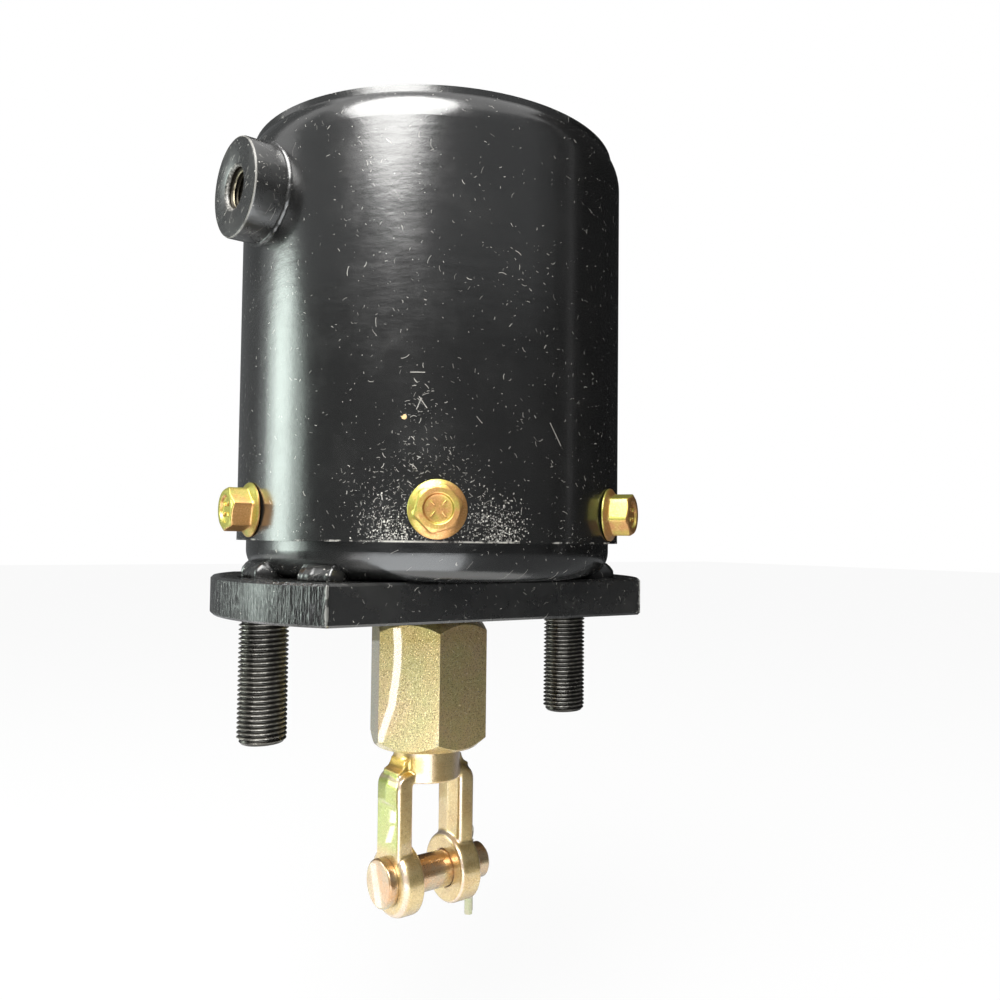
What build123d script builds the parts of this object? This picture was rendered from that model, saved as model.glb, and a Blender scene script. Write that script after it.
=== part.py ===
from build123d import *
from math import cos, radians, sin, sqrt, tan
import os

# Piston-type air brake chamber, in millimetres.
# Origin: rod axis at the lower (seating) face of the mounting plate. +Z runs up to the closed
# end of the cup, and X runs through the two mounting studs.

# Mounting plate and studs
plate_thickness = 12.7
plate_end_margin = 15.3
plate_half_width = 48.9
plate_edge_break = 0.8
stud_r = 8.0
stud_spacing = 120.65
stud_reach = 41.0
stud_chamfer = 1.6
stud_inset = 0.7
stud_seat_step = 0.8

# Deep-drawn cup
cup_outer_r = 67.5
cup_wall = 3.0
cup_corner_r = 13.5
cup_edge_gap = 12.0
head_space = 36.05

# Pressed end cap, plugged into the cup's open end
cap_wall = 3.5
cap_corner_r = 9.0
cap_rim_margin = 9.3
cap_clearance = 0.2
breather_r = 2.5
breather_margin = 1.6

# Flange bolts and weld nuts round the seam
bolt_count = 6
bolt_clocking = 4.5
bolt_height = 9.7
bolt_r = 4.0
bolt_tip_past_nut = 1.5
bolt_hole_clearance = 0.5
bolt_flange_r = 8.75
bolt_flange_height = 1.8
bolt_head_flats = 12.7
bolt_head_height = 6.6
bolt_rim_width = 2.05
bolt_recess_depth = 0.9
bolt_recess_draft = 30.0
bolt_flange_slope = 20.0
bolt_head_clocking = 15.0
nut_flats = 14.0
nut_height = 6.5
thread_clearance = 0.05

# Air port boss near the closed end
port_azimuth = 187.8
port_drop = 28.7
port_boss_r = 15.9
port_reach = 9.5
port_thread_r = 5.7
port_countersink_width = 1.7
port_drilling_margin = 0.4
port_edge_break = 0.5
port_weld_leg = 1.3

# Welds between the plate and the end cap
weld_azimuths = (2.0, 31.0, 149.0, 182.0, 211.0, 329.0)
weld_arc = 15.0
weld_reach = 11.4
weld_climb = 62.0
weld_crown = 1.6

# Push rod, its guide and its wiper
rod_r = 9.525
running_fit = 0.05
bushing_wall = 3.0
bushing_flange_width = 4.4
bushing_flange_thickness = 2.0
wiper_wall = 2.4
wiper_depth = 5.0
wiper_taper = 2.0
wiper_reach = 2.6
wiper_lip_width = 1.6
wiper_rod_gap = 0.25

# Piston
stroke = 57.15
stop_gap = 0.5
piston_height = 24.0
piston_crown = 8.0
piston_skirt_wall = 7.0
piston_bore_gap = 0.5
sliding_fit = 0.1
hub_wall = 9.0
hub_height = 13.0
casting_fillet_r = 3.0
seal_height = 6.4
seal_depth = 5.0
seal_top_land = 2.6
seal_lip_edge = 0.8
seal_notch_depth = 3.3
guide_height = 5.0
guide_depth = 2.4
guide_bottom_land = 3.4
guide_split = 1.5
groove_side_gap = 0.1
oring_section_r = 1.3

# Rod's upper end: collar, spigot, thrust washer and locknut
spigot_r = 8.0
collar_width = 4.5
collar_height = 4.0
axial_play = 0.1
washer_width = 7.0
washer_thickness = 3.0
locknut_flats = 24.0
locknut_height = 14.0
locknut_collar_inset = 1.4
locknut_collar_height = 3.0
locknut_edge_r = 1.2
spigot_end = 2.0

# Power spring and its seat
spring_wire_r = 4.5
spring_side_gap = 10.3
spring_dead_turns = 0.75
spring_active_turns = 3.0
spring_grind_depth = 2.925
seat_thickness = 2.0
seat_rim_height = 4.0
seat_rim_gap = 0.6
seat_margin = 2.0

# Hex coupling between the rod and the clevis
hex_flats = 38.1
hex_length = 44.4
hex_gap = 0.5
hex_face_inset = 0.85
hex_chamfer_angle = 42.0
hex_clocking = 13.3
rod_thread_length = 19.0
clevis_thread_length = 19.0
thread_end_chamfer = 1.5

# Clevis
clevis_clocking = 6.0
neck_r = 11.9
neck_length = 15.1
fork_top_drop = 7.6
fork_proud = 0.8
fork_width = 15.0
fork_corner_r = 6.0
crotch_corner_r = 3.6
forging_draft = 5.0
fork_edge_r = 1.6
eye_drop = 46.0
eye_r = 12.4
eye_half_span = 16.0
eye_half_gap = 7.8
eye_boss_height = 1.4
eye_outer_edge_r = 3.0
eye_inner_edge_r = 1.4
pin_r = 6.35
pin_fit = 0.08

# Clevis pin and cotter pin
pin_head_r = 8.4
pin_head_height = 3.2
pin_head_edge_r = 0.8
pin_play = 0.1
pin_tail = 8.6
pin_end_chamfer = 0.8
cotter_r = 1.55
cotter_hole_clearance = 0.25
cotter_inset = 5.2
cotter_leg_length = 12.6
cotter_leg_step = 1.2
cotter_loop_r = 2.5
cotter_wire_r = 0.8
cotter_slit = 0.25
cotter_clocking = 35.0

# Levels and radii that follow from the sizes above
plate_r = stud_spacing / 2 + plate_end_margin
stud_seat_r = stud_r + stud_seat_step
cup_edge_z = plate_thickness + cup_edge_gap
cup_bore_r = cup_outer_r - cup_wall
bolt_z = cup_edge_z + bolt_height
cap_outer_r = cup_bore_r - cap_clearance
cap_inner_r = cap_outer_r - cap_wall
cap_floor_z = plate_thickness + cap_wall
cap_rim_z = bolt_z + cap_rim_margin
piston_bottom_z = cap_rim_z + stroke + stop_gap
piston_top_z = piston_bottom_z + piston_height
crown_under_z = piston_top_z - piston_crown
hub_bottom_z = piston_top_z - hub_height
piston_outer_r = cup_bore_r - piston_bore_gap
cup_top_z = piston_top_z + head_space + cup_wall
cut_height = 3 * cup_top_z
port_z = cup_top_z - port_drop
port_face_r = cup_outer_r + port_reach
bushing_outer_r = rod_r + running_fit + bushing_wall
wiper_r = bushing_outer_r + wiper_wall
hub_bore_r = spigot_r + running_fit
hub_r = spigot_r + hub_wall
thread_bore_r = spigot_r + thread_clearance
spring_mean_r = cap_inner_r - spring_side_gap - spring_wire_r
seat_top_z = cap_floor_z + seat_thickness
hex_top_z = -wiper_reach - hex_gap
hex_bottom_z = hex_top_z - hex_length
crotch_z = hex_bottom_z - neck_length
eye_z = hex_bottom_z - eye_drop
fork_half_span = eye_half_span + fork_proud
fork_half_gap = eye_half_gap + eye_boss_height

os.makedirs("parts", exist_ok=True)


def radial_plane(azimuth, height, distance):
    """Plane facing straight out from the Z axis, at this azimuth, height and distance."""
    outward = Vector(cos(radians(azimuth)), sin(radians(azimuth)), 0)
    level = Vector(-sin(radians(azimuth)), cos(radians(azimuth)), 0)
    return Plane(origin=outward * distance + Vector(0, 0, height), x_dir=level, z_dir=outward)


def finish(builder, name):
    """Name a finished sub-part and write its STEP file."""
    builder.part.label = name
    export_step(builder.part, f"parts/{name}.step")


bolt_azimuths = [bolt_clocking + 360 / bolt_count * index for index in range(bolt_count)]

# Cup: deep-drawn steel, closed at the top, with a plain open edge below the bolts
with BuildPart() as housing_cup:
    with BuildSketch(Plane.XZ):
        with BuildLine():
            Polyline(
                (0, cup_top_z - cup_wall),
                (0, cup_top_z),
                (cup_outer_r, cup_top_z),
                (cup_outer_r, cup_edge_z),
                (cup_bore_r, cup_edge_z),
                (cup_bore_r, cup_top_z - cup_wall),
                close=True,
            )
        make_face()
        top_corners = vertices().filter_by(lambda v: v.X > 1 and v.Y > cup_edge_z + cup_wall)
        fillet(top_corners.sort_by(Axis.X)[-1], cup_corner_r)
        fillet(top_corners.sort_by(Axis.X)[0], cup_corner_r - cup_wall)
    revolve(axis=Axis.Z)
    for azimuth in bolt_azimuths:
        with BuildSketch(radial_plane(azimuth, bolt_z, 0)):
            Circle(bolt_r + bolt_hole_clearance)
        extrude(amount=cup_outer_r + cup_wall, mode=Mode.SUBTRACT)
    with BuildSketch(radial_plane(port_azimuth, port_z, 0)):
        Circle(port_thread_r + port_drilling_margin)
    extrude(amount=cup_outer_r + cup_wall, mode=Mode.SUBTRACT)
finish(housing_cup, "housing_cup")

# Port boss: turned round boss, saddled to the cup, tapped for the air line
with BuildPart() as port_boss:
    with BuildSketch(radial_plane(port_azimuth, port_z, 0)):
        Circle(port_boss_r)
    extrude(amount=port_face_r)
    chamfer(edges().filter_by(GeomType.CIRCLE).sort_by(Axis.X)[0], port_edge_break)
    with Locations(radial_plane(port_azimuth, port_z, port_face_r)):
        countersink_r = port_thread_r + port_countersink_width
        CounterSinkHole(port_thread_r, countersink_r, counter_sink_angle=90)
    Cylinder(cup_outer_r, cut_height, mode=Mode.SUBTRACT)
finish(port_boss, "port_boss")

# Port weld: thin saddle-shaped bead where the boss meets the cup
with BuildPart() as port_weld:
    Cylinder(cup_outer_r + port_weld_leg, cut_height)
    Cylinder(cup_outer_r, cut_height, mode=Mode.SUBTRACT)
    with BuildSketch(radial_plane(port_azimuth, port_z, 0)):
        Circle(port_boss_r + port_weld_leg)
        Circle(port_boss_r, mode=Mode.SUBTRACT)
    extrude(amount=port_face_r, mode=Mode.INTERSECT)
finish(port_weld, "port_weld")

# End cap: pressed steel dish with its skirt up inside the cup
with BuildPart() as end_cap:
    with BuildSketch(Plane.XZ):
        with BuildLine():
            Polyline(
                (bushing_outer_r, plate_thickness),
                (cap_outer_r, plate_thickness),
                (cap_outer_r, cap_rim_z),
                (cap_inner_r, cap_rim_z),
                (cap_inner_r, cap_floor_z),
                (bushing_outer_r, cap_floor_z),
                close=True,
            )
        make_face()
        low_corners = vertices().filter_by(lambda v: v.X > cap_corner_r + bushing_outer_r)
        fillet(low_corners.sort_by(Axis.Y)[0], cap_corner_r)
        fillet(low_corners.sort_by(Axis.Y)[1], cap_corner_r - cap_wall)
    revolve(axis=Axis.Z)
    for azimuth in bolt_azimuths:
        with BuildSketch(radial_plane(azimuth, bolt_z, 0)):
            Circle(bolt_r + bolt_hole_clearance)
        extrude(amount=cup_outer_r, mode=Mode.SUBTRACT)
    breather_offset = plate_half_width + breather_r + breather_margin
    with Locations((0, breather_offset, cap_floor_z)):
        Hole(breather_r)
finish(end_cap, "end_cap")

# Weld nuts: hexagon nuts saddled and welded to the inside of the cap's skirt
nut_face_r = sqrt(cap_inner_r**2 - (nut_flats / 2) ** 2) - nut_height
with BuildPart() as weld_nuts:
    for azimuth in bolt_azimuths:
        with BuildSketch(radial_plane(azimuth, bolt_z, nut_face_r)):
            RegularPolygon(nut_flats / 2, 6, major_radius=False)
            Circle(bolt_r + thread_clearance, mode=Mode.SUBTRACT)
        extrude(amount=cup_outer_r - nut_face_r)
    Cylinder(cap_inner_r, cut_height, mode=Mode.INTERSECT)
finish(weld_nuts, "weld_nuts")

bolt_length = cup_outer_r - nut_face_r + bolt_tip_past_nut

# Flange bolts: hexagon head with an indented top, round flange and plain nominal shank
with BuildPart() as flange_bolts:
    for azimuth in bolt_azimuths:
        with BuildSketch(radial_plane(azimuth, bolt_z, cup_outer_r - bolt_length)):
            Circle(bolt_r)
        extrude(amount=bolt_length)
        with BuildSketch(radial_plane(azimuth, bolt_z, cup_outer_r)):
            Circle(bolt_flange_r)
        extrude(amount=bolt_flange_height, taper=bolt_flange_slope)
        with BuildSketch(radial_plane(azimuth, bolt_z, cup_outer_r + bolt_flange_height)):
            RegularPolygon(bolt_head_flats / 2, 6, major_radius=False, rotation=bolt_head_clocking)
        extrude(amount=bolt_head_height)
        head_top_r = cup_outer_r + bolt_flange_height + bolt_head_height
        with BuildSketch(radial_plane(azimuth, bolt_z, head_top_r)):
            Circle(bolt_head_flats / 2 - bolt_rim_width)
        extrude(amount=-bolt_recess_depth, mode=Mode.SUBTRACT, taper=bolt_recess_draft)
finish(flange_bolts, "flange_bolts")

# Mounting plate: thick flame-cut disc with two flats, bored for the rod guide and wiper
with BuildPart() as mounting_plate:
    with BuildSketch():
        Circle(plate_r)
        Rectangle(2 * plate_r, 2 * plate_half_width, mode=Mode.INTERSECT)
    extrude(amount=plate_thickness)
    rim = faces().filter_by(Axis.Z).edges().filter_by(lambda e: e.bounding_box().size.Z < 0.01)
    chamfer(rim, plate_edge_break)
    Hole(bushing_outer_r)
    with GridLocations(stud_spacing, 0, 2, 1):
        Hole(stud_seat_r + thread_clearance)
    with BuildSketch():
        Circle(wiper_r)
    extrude(amount=wiper_depth, mode=Mode.SUBTRACT)
finish(mounting_plate, "mounting_plate")

# Mounting studs: shouldered, fixed in the plate and standing down from its seating face
with BuildPart() as mounting_studs:
    with BuildSketch(Plane.XY.offset(-stud_reach)):
        with GridLocations(stud_spacing, 0, 2, 1):
            Circle(stud_r)
    extrude(amount=stud_reach)
    chamfer(edges().group_by(Axis.Z)[0], stud_chamfer)
    with BuildSketch():
        with GridLocations(stud_spacing, 0, 2, 1):
            Circle(stud_seat_r)
    extrude(amount=plate_thickness - stud_inset)
finish(mounting_studs, "mounting_studs")

# Plate welds: short fillet beads between the plate's top and the cap's rounded corner
with BuildPart() as plate_welds:
    corner_r = cap_outer_r - cap_corner_r
    corner_z = plate_thickness + cap_corner_r
    bead_outer_r = corner_r + weld_reach
    bead_top = Vector(corner_r + cap_corner_r * sin(radians(weld_climb)),
                      corner_z - cap_corner_r * cos(radians(weld_climb)))
    bead_foot = Vector(bead_outer_r, plate_thickness)
    bulge = Vector(weld_crown, weld_crown)
    for azimuth in weld_azimuths:
        start = Plane.XZ.rotated((0, 0, azimuth - weld_arc / 2))
        with BuildSketch(start):
            with BuildLine():
                Line((corner_r, plate_thickness), bead_foot)
                ThreePointArc(bead_foot, (bead_foot + bead_top) * 0.5 + bulge * 0.5, bead_top)
                CenterArc((corner_r, corner_z), cap_corner_r, weld_climb - 90, -weld_climb)
            make_face()
        revolve(axis=Axis.Z, revolution_arc=weld_arc)
finish(plate_welds, "plate_welds")

# Rod bushing: flanged plain bearing held between the plate and the cap
with BuildPart() as rod_bushing:
    with BuildSketch(Plane.XY.offset(wiper_depth)):
        Circle(bushing_outer_r)
    extrude(amount=cap_floor_z - wiper_depth)
    with BuildSketch(Plane.XY.offset(cap_floor_z)):
        Circle(bushing_outer_r + bushing_flange_width)
    extrude(amount=bushing_flange_thickness)
    Hole(rod_r + running_fit)
finish(rod_bushing, "rod_bushing")

# Rod wiper: moulded rubber ring in the plate's counterbore; its lip is the hex's bumper
with BuildPart() as rod_wiper:
    with BuildSketch(Plane.XZ):
        with BuildLine():
            lip_inner_r = rod_r + wiper_rod_gap
            Polyline(
                (lip_inner_r + wiper_lip_width, wiper_depth),
                (wiper_r, wiper_depth),
                (wiper_r, 0),
                (wiper_r - wiper_taper, -wiper_reach),
                (lip_inner_r, -wiper_reach),
                (lip_inner_r, 0),
                close=True,
            )
        make_face()
    revolve(axis=Axis.Z)
finish(rod_wiper, "rod_wiper")

# Spring seat: pressed ring on the cap's floor that centres the power spring
with BuildPart() as spring_seat:
    with BuildSketch(Plane.XZ):
        with BuildLine():
            rim_r = spring_mean_r - spring_wire_r - seat_rim_gap
            seat_outer_r = spring_mean_r + spring_wire_r + seat_margin
            Polyline(
                (rim_r - seat_thickness, cap_floor_z),
                (seat_outer_r, cap_floor_z),
                (seat_outer_r, seat_top_z),
                (rim_r, seat_top_z),
                (rim_r, seat_top_z + seat_rim_height),
                (rim_r - seat_thickness, seat_top_z + seat_rim_height),
                close=True,
            )
        make_face()
    revolve(axis=Axis.Z)
finish(spring_seat, "spring_seat")

# Power spring: round wire wound with closed ends, both ends ground flat
spring_turns = spring_active_turns + 2 * spring_dead_turns
low_z = seat_top_z + spring_wire_r - spring_grind_depth
high_z = crown_under_z - spring_wire_r + spring_grind_depth
dead_rise = 2 * spring_wire_r * spring_dead_turns
active_rise = high_z - low_z - 2 * dead_rise


def coil_height(turn):
    """Height of the wire's centre after this many turns from the lower end."""
    if turn <= spring_dead_turns:
        return low_z + dead_rise * turn / spring_dead_turns
    if turn >= spring_turns - spring_dead_turns:
        return high_z - dead_rise * (spring_turns - turn) / spring_dead_turns
    share = (turn - spring_dead_turns) / spring_active_turns
    return low_z + dead_rise + active_rise * share


points_per_turn = 8
coil_points = []
for step in range(int(spring_turns * points_per_turn) + 1):
    turn = step / points_per_turn
    angle = radians(360 * turn)
    height = coil_height(turn)
    coil_points.append((spring_mean_r * cos(angle), spring_mean_r * sin(angle), height))

with BuildPart() as power_spring:
    with BuildLine() as coil_path:
        Spline(*coil_points)
    with BuildSketch(Plane(origin=coil_path.line @ 0, z_dir=coil_path.line % 0)):
        Circle(spring_wire_r)
    sweep(path=coil_path.line, is_frenet=True)
    split(bisect_by=Plane.XY.offset(seat_top_z), keep=Keep.TOP)
    split(bisect_by=Plane.XY.offset(crown_under_z), keep=Keep.BOTTOM)
finish(power_spring, "power_spring")

# Piston: cast head with a skirt, a central hub, and grooves for the seal and guide ring
seal_top_z = piston_top_z - seal_top_land
guide_bottom_z = piston_bottom_z + guide_bottom_land
with BuildPart() as piston:
    with BuildSketch(Plane.XZ):
        with BuildLine():
            skirt_inner_r = piston_outer_r - piston_skirt_wall
            Polyline(
                (hub_bore_r, piston_top_z),
                (piston_outer_r, piston_top_z),
                (piston_outer_r, piston_bottom_z),
                (skirt_inner_r, piston_bottom_z),
                (skirt_inner_r, crown_under_z),
                (hub_r, crown_under_z),
                (hub_r, hub_bottom_z),
                (hub_bore_r, hub_bottom_z),
                close=True,
            )
        make_face()
        under_crown = vertices().filter_by(lambda v: abs(v.Y - crown_under_z) < groove_side_gap)
        fillet(under_crown, casting_fillet_r)
        with Locations((piston_outer_r - seal_depth / 2, seal_top_z - seal_height / 2)):
            Rectangle(seal_depth, seal_height, mode=Mode.SUBTRACT)
        with Locations((piston_outer_r - guide_depth / 2, guide_bottom_z + guide_height / 2)):
            Rectangle(guide_depth, guide_height, mode=Mode.SUBTRACT)
        oring_z = piston_top_z - hub_height / 2
        groove_width = 2 * oring_section_r + 2 * groove_side_gap
        with Locations((hub_bore_r + oring_section_r, oring_z)):
            Rectangle(groove_width, groove_width, mode=Mode.SUBTRACT)
    revolve(axis=Axis.Z)
finish(piston, "piston")

# Piston seal: rubber lip ring, its V opening towards the air side
seal_lip_r = cup_bore_r - sliding_fit
seal_root_r = piston_outer_r - seal_depth
seal_middle_r = (seal_lip_r + seal_root_r) / 2
with BuildPart() as piston_seal:
    with BuildSketch(Plane.XZ):
        with BuildLine():
            seal_low_z = seal_top_z - seal_height + groove_side_gap
            seal_high_z = seal_top_z - groove_side_gap
            Polyline(
                (seal_root_r, seal_low_z),
                (piston_outer_r, seal_low_z),
                (seal_lip_r, seal_high_z - seal_lip_edge),
                (seal_lip_r - seal_lip_edge, seal_high_z),
                (seal_middle_r, seal_high_z - seal_notch_depth),
                (seal_root_r + seal_lip_edge, seal_high_z),
                (seal_root_r, seal_high_z - seal_lip_edge),
                close=True,
            )
        make_face()
    revolve(axis=Axis.Z)
finish(piston_seal, "piston_seal")

# Guide ring: split wear band that keeps the piston off the cup's wall
with BuildPart() as guide_ring:
    with BuildSketch(Plane.XY.offset(guide_bottom_z + groove_side_gap)):
        Circle(cup_bore_r - sliding_fit)
        Circle(piston_outer_r - guide_depth, mode=Mode.SUBTRACT)
        with Locations((piston_outer_r, 0)):
            Rectangle(4 * guide_depth, guide_split, mode=Mode.SUBTRACT)
    extrude(amount=guide_height - 2 * groove_side_gap)
finish(guide_ring, "guide_ring")

# Hub O-ring: seals the rod's spigot in the piston
with BuildPart() as hub_oring:
    with BuildSketch(Plane.XZ):
        with Locations((hub_bore_r + oring_section_r, oring_z)):
            Circle(oring_section_r)
    revolve(axis=Axis.Z)
finish(hub_oring, "hub_oring")

# Push rod: ground bar with a collar under the piston, a spigot above and a threaded foot
collar_top_z = hub_bottom_z - axial_play
washer_bottom_z = piston_top_z + axial_play
locknut_bottom_z = washer_bottom_z + washer_thickness
locknut_top_z = locknut_bottom_z + locknut_height
collar_r = rod_r + collar_width
with BuildPart() as push_rod:
    with BuildSketch(Plane.XZ):
        with BuildLine():
            Polyline(
                (0, hex_top_z - rod_thread_length),
                (spigot_r, hex_top_z - rod_thread_length),
                (spigot_r, hex_top_z),
                (rod_r, hex_top_z),
                (rod_r, collar_top_z - collar_height),
                (collar_r, collar_top_z - collar_height),
                (collar_r, collar_top_z),
                (spigot_r, collar_top_z),
                (spigot_r, locknut_top_z + spigot_end),
                (0, locknut_top_z + spigot_end),
                close=True,
            )
        make_face()
    revolve(axis=Axis.Z)
    chamfer(edges().group_by(Axis.Z)[0], thread_end_chamfer)
    chamfer(edges().group_by(Axis.Z)[-1], thread_end_chamfer)
finish(push_rod, "push_rod")

# Thrust washer: hardened plain washer between the piston and the locknut
with BuildPart() as thrust_washer:
    with BuildSketch(Plane.XY.offset(washer_bottom_z)):
        Circle(spigot_r + washer_width)
        Circle(thread_bore_r, mode=Mode.SUBTRACT)
    extrude(amount=washer_thickness)
finish(thrust_washer, "thrust_washer")

# Rod locknut: hexagon nut with a raised insert collar
with BuildPart() as rod_locknut:
    with BuildSketch(Plane.XY.offset(locknut_bottom_z)):
        RegularPolygon(locknut_flats / 2, 6, major_radius=False)
    extrude(amount=locknut_height - locknut_collar_height)
    with BuildSketch(Plane.XY.offset(locknut_top_z - locknut_collar_height)):
        Circle(locknut_flats / 2 - locknut_collar_inset)
    extrude(amount=locknut_collar_height)
    fillet(faces().sort_by(Axis.Z)[-1].edges(), locknut_edge_r)
    Cylinder(thread_bore_r, cut_height, mode=Mode.SUBTRACT)
finish(rod_locknut, "rod_locknut")

# Hex coupling: long hexagon, chamfered at both ends, threaded onto the rod and the clevis
hex_corner_r = hex_flats / sqrt(3)
hex_face_r = hex_flats / 2 - hex_face_inset
hex_chamfer_drop = (hex_corner_r - hex_face_r) * tan(radians(hex_chamfer_angle))
with BuildPart() as hex_coupling:
    with BuildSketch(Plane.XY.offset(hex_bottom_z)):
        RegularPolygon(hex_flats / 2, 6, major_radius=False, rotation=hex_clocking)
    extrude(amount=hex_length)
    with BuildSketch(Plane.XZ):
        with BuildLine():
            Polyline(
                (thread_bore_r, hex_bottom_z),
                (hex_face_r, hex_bottom_z),
                (hex_corner_r, hex_bottom_z + hex_chamfer_drop),
                (hex_corner_r, hex_top_z - hex_chamfer_drop),
                (hex_face_r, hex_top_z),
                (thread_bore_r, hex_top_z),
                close=True,
            )
        make_face()
    revolve(axis=Axis.Z, mode=Mode.INTERSECT)
finish(hex_coupling, "hex_coupling")

# Clevis: drop-forged fork with a round neck, a drafted bow and two faced eyes
pin_direction = Vector(cos(radians(clevis_clocking)), sin(radians(clevis_clocking)), 0)
fork_plane = Plane(origin=(0, 0, 0), x_dir=pin_direction, z_dir=pin_direction.cross(Vector(0, 0, 1)))


def across_pin(distance):
    """Plane square to the clevis pin, at this distance from the rod's axis."""
    return Plane(origin=pin_direction * distance + Vector(0, 0, eye_z), z_dir=pin_direction)


fork_top_z = hex_bottom_z - fork_top_drop
pin_axis = Axis((0, 0, eye_z), pin_direction)
with BuildPart() as clevis:
    with BuildSketch(fork_plane):
        with BuildLine():
            Polyline(
                (-fork_half_span, eye_z),
                (-fork_half_span, fork_top_z),
                (fork_half_span, fork_top_z),
                (fork_half_span, eye_z),
                (fork_half_gap, eye_z),
                (fork_half_gap, crotch_z),
                (-fork_half_gap, crotch_z),
                (-fork_half_gap, eye_z),
                close=True,
            )
        make_face()
        bow = vertices().filter_by(lambda v: v.Y > eye_z + eye_r)
        fillet(bow.group_by(Axis.Y)[-1], fork_corner_r)
        fillet(bow.group_by(Axis.Y)[0], crotch_corner_r)
    extrude(amount=fork_width / 2, both=True, taper=forging_draft)
    forged_faces = faces().filter_by(GeomType.PLANE).sort_by(Axis((0, 0, 0), fork_plane.z_dir))
    fillet(forged_faces[0].edges() + forged_faces[-1].edges(), fork_edge_r)
    with BuildSketch(Plane.XY.offset(crotch_z)):
        Circle(neck_r)
    extrude(amount=neck_length)
    for side in (-1, 1):
        with BuildSketch(across_pin(side * eye_half_span)):
            Circle(eye_r + fork_width)
        extrude(amount=side * fork_half_span, mode=Mode.SUBTRACT)
    for side in (-1, 1):
        with BuildSketch(fork_plane):
            with Locations((side * (eye_half_gap + eye_half_span) / 2, eye_z + eye_r / 2)):
                Rectangle(eye_half_span - eye_half_gap, eye_r)
            eye_corners = vertices().group_by(Axis.Y)[-1].sort_by(Axis.X)
            fillet(eye_corners[0], eye_outer_edge_r if side < 0 else eye_inner_edge_r)
            fillet(eye_corners[1], eye_outer_edge_r if side > 0 else eye_inner_edge_r)
        revolve(axis=pin_axis)
    with BuildSketch(Plane.XY.offset(hex_bottom_z)):
        Circle(spigot_r)
    extrude(amount=clevis_thread_length)
    chamfer(edges().group_by(Axis.Z)[-1], thread_end_chamfer)
    with BuildSketch(across_pin(-2 * fork_half_span)):
        Circle(pin_r + pin_fit)
    extrude(amount=4 * fork_half_span, mode=Mode.SUBTRACT)
finish(clevis, "clevis")

# Clevis pin: headed pin, cross-drilled for the cotter beyond the far eye
pin_shoulder = -eye_half_span - pin_play
pin_end = eye_half_span + pin_tail
cotter_position = pin_end - cotter_inset
with BuildPart() as clevis_pin:
    with BuildSketch(across_pin(pin_shoulder)):
        Circle(pin_head_r)
    extrude(amount=-pin_head_height)
    head_rim = edges().filter_by(GeomType.CIRCLE).sort_by(Axis.X)[0]
    fillet(head_rim, pin_head_edge_r)
    with BuildSketch(across_pin(pin_shoulder)):
        Circle(pin_r)
    extrude(amount=pin_end - pin_shoulder)
    chamfer(edges().filter_by(GeomType.CIRCLE).sort_by(Axis.X)[-1], pin_end_chamfer)
    with BuildSketch(Plane(origin=pin_direction * cotter_position + Vector(0, 0, eye_z))):
        Circle(cotter_r + cotter_hole_clearance)
    extrude(amount=2 * pin_r, both=True, mode=Mode.SUBTRACT)
finish(clevis_pin, "clevis_pin")

# Cotter pin: two half-round legs hanging below the clevis pin, looped above it
cotter_axis = pin_direction * cotter_position
cotter_turn = clevis_clocking + cotter_clocking
cotter_side = Vector(cos(radians(cotter_turn)), sin(radians(cotter_turn)), 0)
leg_tip_z = eye_z - pin_r - cotter_leg_length
loop_z = eye_z + pin_r + cotter_loop_r + 2 * cotter_wire_r
with BuildPart() as cotter_pin:
    with BuildSketch(Plane(origin=cotter_axis + Vector(0, 0, leg_tip_z), x_dir=cotter_side)):
        Circle(cotter_r)
        Rectangle(cotter_slit, 4 * cotter_r, mode=Mode.SUBTRACT)
    extrude(amount=loop_z - cotter_loop_r - leg_tip_z)
    with BuildSketch(Plane(origin=cotter_axis + Vector(0, 0, leg_tip_z), x_dir=cotter_side)):
        with Locations((cotter_r, 0)):
            Rectangle(2 * cotter_r, 4 * cotter_r)
    extrude(amount=cotter_leg_step, mode=Mode.SUBTRACT)
    loop_centre = cotter_axis + Vector(0, 0, loop_z)
    with BuildSketch(Plane(origin=loop_centre, x_dir=cotter_side)):
        with Locations((cotter_loop_r, 0)):
            Circle(cotter_wire_r)
    revolve(axis=Axis(loop_centre, cotter_side.cross(Vector(0, 0, 1))))
finish(cotter_pin, "cotter_pin")
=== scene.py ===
from math import atan2, cos, pi, radians, sin, sqrt

import bmesh
import bpy
from mathutils import Matrix, Vector, noise


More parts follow.
